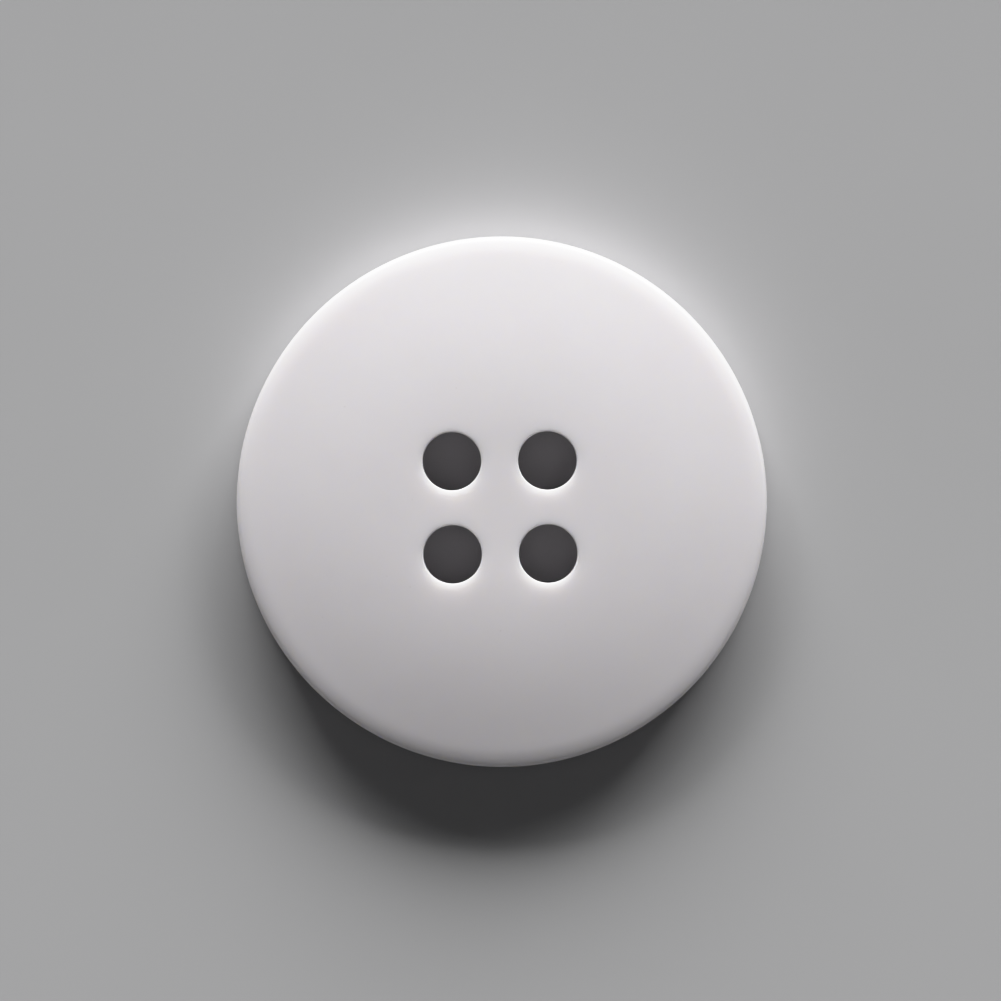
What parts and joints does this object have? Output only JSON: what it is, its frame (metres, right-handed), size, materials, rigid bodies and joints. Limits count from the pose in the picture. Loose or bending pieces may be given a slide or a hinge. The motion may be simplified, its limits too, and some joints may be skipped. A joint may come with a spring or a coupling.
{
  "type": "sew-on button",
  "caption": "Round sew-on button: a turned white resin disc with a flat back, a gently crowned front, a rounded rim and four thread holes drilled through it around its flat centre.",
  "frame": {"origin": "on the disc's turning axis, at the flat back face that rests on the cloth", "axes": "+Z along the turning axis, out of the crowned front face; +Y towards the button's top edge as it is sewn on, so the hole pattern's rows run along X and its columns along Y"},
  "size_m": [0.02, 0.02, 0.0028],
  "materials": {
    "resin": "satin"
  },
  "bodies": {
    "root": {"button_disc": "resin"}
  },
  "joints": []
}
